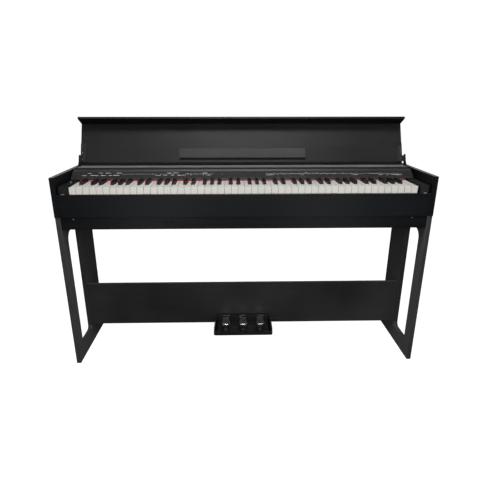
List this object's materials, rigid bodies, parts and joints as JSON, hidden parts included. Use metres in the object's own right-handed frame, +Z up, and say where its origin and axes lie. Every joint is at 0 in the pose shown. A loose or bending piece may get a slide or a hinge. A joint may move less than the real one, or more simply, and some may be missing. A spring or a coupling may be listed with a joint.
{
  "type": "digital piano",
  "caption": "Slim full-size digital piano on a flat slotted-leg stand, lid folded up with a music ledge, weighted keys and a three-pedal unit on the lower board.",
  "frame": {"origin": "bottom centre of the whole piano with its lid open, on the floor", "axes": "+X to the player's right (treble), -Y towards the player, +Z up"},
  "size_m": [1.349, 0.3729, 0.9216],
  "materials": {
    "black_laminate": "satin black wood-grain laminate",
    "lid_laminate": "satin charcoal laminate",
    "raw_board": "unfinished particle board",
    "block_plastic": "fine matte texture",
    "panel_plastic": "fine matte texture",
    "black_plastic": "moulded matte",
    "ledge_plastic": "moulded satin",
    "bracket_metal": "black powder coat",
    "control_white": "moulded satin",
    "control_black": "gloss with a red lamp",
    "red_felt": "pressed wool felt",
    "soft_pad": "soft grey",
    "frame_metal": "zinc plated sheet",
    "bright_steel": "plain bright",
    "pedal_metal": "satin chrome",
    "circuit_board": "solder mask",
    "speaker_black": "paper and steel",
    "white_key": "polished ivory white",
    "black_key": "satin black"
  },
  "bodies": {
    "cabinet": {"backboard": "black_laminate", "black_keys_bass": "black_key", "black_keys_treble": "black_key", "cabinet_screws": "bright_steel", "case_bolts": "bright_steel", "control_panel": "panel_plastic", "corner_brackets": "frame_metal", "front_rail": "black_laminate", "headphone_jacks": "black_plastic", "jack_plate": "black_plastic", "key_block_left": "block_plastic", "key_block_right": "block_plastic", "key_contacts": "circuit_board", "key_felt": "red_felt", "key_frame": "frame_metal", "key_pivot_rod": "bright_steel", "keybed_board": "raw_board", "leg_frame_left": "black_laminate", "leg_frame_right": "black_laminate", "lid_cushions": "soft_pad", "lower_case": "black_laminate", "main_board": "circuit_board", "pedal_housing": "black_plastic", "pedal_rod": "bright_steel", "pedal_springs": "bright_steel", "pedal_stop_pads": "soft_pad", "power_supply": "black_plastic", "rear_panel": "black_laminate", "side_board_left": "black_laminate", "side_board_right": "black_laminate", "speaker_grilles": "black_plastic", "speaker_left": "speaker_black", "speaker_right": "speaker_black", "top_board": "black_laminate", "white_keys_bass": "white_key", "white_keys_treble": "white_key"},
    "lid": {"lid_panel": "lid_laminate", "lid_lip": "lid_laminate", "lid_arm_left": "bracket_metal", "lid_arm_right": "bracket_metal", "lid_screws": "bright_steel", "ledge_hinges": "bracket_metal"},
    "ledge": {"music_ledge": "ledge_plastic"},
    "power_push": {"power_button": "control_black"},
    "volume_knob": {"volume_slider": "control_white"},
    "soft_pedal": {"pedal_soft": "pedal_metal"},
    "sostenuto_pedal": {"pedal_sostenuto": "pedal_metal"},
    "damper_pedal": {"pedal_damper": "pedal_metal"},
    "key_c4_lever": {"key_c4": "white_key"},
    "key_c_sharp4_lever": {"key_c_sharp4": "black_key"},
    "key_d4_lever": {"key_d4": "white_key"},
    "key_d_sharp4_lever": {"key_d_sharp4": "black_key"},
    "key_e4_lever": {"key_e4": "white_key"},
    "key_f4_lever": {"key_f4": "white_key"},
    "key_f_sharp4_lever": {"key_f_sharp4": "black_key"},
    "key_g4_lever": {"key_g4": "white_key"},
    "key_g_sharp4_lever": {"key_g_sharp4": "black_key"},
    "key_a4_lever": {"key_a4": "white_key"},
    "key_a_sharp4_lever": {"key_a_sharp4": "black_key"},
    "key_b4_lever": {"key_b4": "white_key"}
  },
  "joints": [
    {"name": "lid_hinge", "type": "hinge", "parent": "cabinet", "child": "lid", "pos_m": [0, 0.04962, 0.70091], "axis": [-1, 0, 0], "range_deg": [-116.5, 0]},
    {"name": "ledge_hinge", "type": "hinge", "parent": "lid", "child": "ledge", "pos_m": [0, 0.10642, 0.76734], "axis": [1, 0, 0], "range_deg": [0, 90]},
    {"name": "key_c4_hinge", "type": "hinge", "parent": "cabinet", "child": "key_c4_lever", "pos_m": [0, 0.03529, 0.688], "axis": [1, 0, 0], "range_deg": [0, 2.7], "stiffness_Nm_per_rad": 1.5, "springref_deg": -9.17},
    {"name": "key_c_sharp4_hinge", "type": "hinge", "parent": "cabinet", "child": "key_c_sharp4_lever", "pos_m": [0, 0.03529, 0.688], "axis": [1, 0, 0], "range_deg": [0, 2.7], "stiffness_Nm_per_rad": 1.5, "springref_deg": -9.17},
    {"name": "key_d4_hinge", "type": "hinge", "parent": "cabinet", "child": "key_d4_lever", "pos_m": [0, 0.03529, 0.688], "axis": [1, 0, 0], "range_deg": [0, 2.7], "stiffness_Nm_per_rad": 1.5, "springref_deg": -9.17},
    {"name": "key_d_sharp4_hinge", "type": "hinge", "parent": "cabinet", "child": "key_d_sharp4_lever", "pos_m": [0, 0.03529, 0.688], "axis": [1, 0, 0], "range_deg": [0, 2.7], "stiffness_Nm_per_rad": 1.5, "springref_deg": -9.17},
    {"name": "key_e4_hinge", "type": "hinge", "parent": "cabinet", "child": "key_e4_lever", "pos_m": [0, 0.03529, 0.688], "axis": [1, 0, 0], "range_deg": [0, 2.7], "stiffness_Nm_per_rad": 1.5, "springref_deg": -9.17},
    {"name": "key_f4_hinge", "type": "hinge", "parent": "cabinet", "child": "key_f4_lever", "pos_m": [0, 0.03529, 0.688], "axis": [1, 0, 0], "range_deg": [0, 2.7], "stiffness_Nm_per_rad": 1.5, "springref_deg": -9.17},
    {"name": "key_f_sharp4_hinge", "type": "hinge", "parent": "cabinet", "child": "key_f_sharp4_lever", "pos_m": [0, 0.03529, 0.688], "axis": [1, 0, 0], "range_deg": [0, 2.7], "stiffness_Nm_per_rad": 1.5, "springref_deg": -9.17},
    {"name": "key_g4_hinge", "type": "hinge", "parent": "cabinet", "child": "key_g4_lever", "pos_m": [0, 0.03529, 0.688], "axis": [1, 0, 0], "range_deg": [0, 2.7], "stiffness_Nm_per_rad": 1.5, "springref_deg": -9.17},
    {"name": "key_g_sharp4_hinge", "type": "hinge", "parent": "cabinet", "child": "key_g_sharp4_lever", "pos_m": [0, 0.03529, 0.688], "axis": [1, 0, 0], "range_deg": [0, 2.7], "stiffness_Nm_per_rad": 1.5, "springref_deg": -9.17},
    {"name": "key_a4_hinge", "type": "hinge", "parent": "cabinet", "child": "key_a4_lever", "pos_m": [0, 0.03529, 0.688], "axis": [1, 0, 0], "range_deg": [0, 2.7], "stiffness_Nm_per_rad": 1.5, "springref_deg": -9.17},
    {"name": "key_a_sharp4_hinge", "type": "hinge", "parent": "cabinet", "child": "key_a_sharp4_lever", "pos_m": [0, 0.03529, 0.688], "axis": [1, 0, 0], "range_deg": [0, 2.7], "stiffness_Nm_per_rad": 1.5, "springref_deg": -9.17},
    {"name": "key_b4_hinge", "type": "hinge", "parent": "cabinet", "child": "key_b4_lever", "pos_m": [0, 0.03529, 0.688], "axis": [1, 0, 0], "range_deg": [0, 2.7], "stiffness_Nm_per_rad": 1.5, "springref_deg": -9.17},
    {"name": "soft_pedal_hinge", "type": "hinge", "parent": "cabinet", "child": "soft_pedal", "pos_m": [0, -0.01171, 0.115], "axis": [1, 0, 0], "range_deg": [0, 7.5], "stiffness_Nm_per_rad": 6, "springref_deg": -8.59},
    {"name": "sostenuto_pedal_hinge", "type": "hinge", "parent": "cabinet", "child": "sostenuto_pedal", "pos_m": [0, -0.01171, 0.115], "axis": [1, 0, 0], "range_deg": [0, 7.5], "stiffness_Nm_per_rad": 6, "springref_deg": -8.59},
    {"name": "damper_pedal_hinge", "type": "hinge", "parent": "cabinet", "child": "damper_pedal", "pos_m": [0, -0.01171, 0.115], "axis": [1, 0, 0], "range_deg": [0, 7.5], "stiffness_Nm_per_rad": 6, "springref_deg": -8.59},
    {"name": "power_button_slide", "type": "slide", "parent": "cabinet", "child": "power_push", "axis": [0, 0, -1], "range_m": [0, 0.0015], "stiffness_N_per_m": 800, "springref_m": -0.001},
    {"name": "volume_slide", "type": "slide", "parent": "cabinet", "child": "volume_knob", "axis": [0, 1, 0], "range_m": [-0.01, 0.01]}
  ]
}
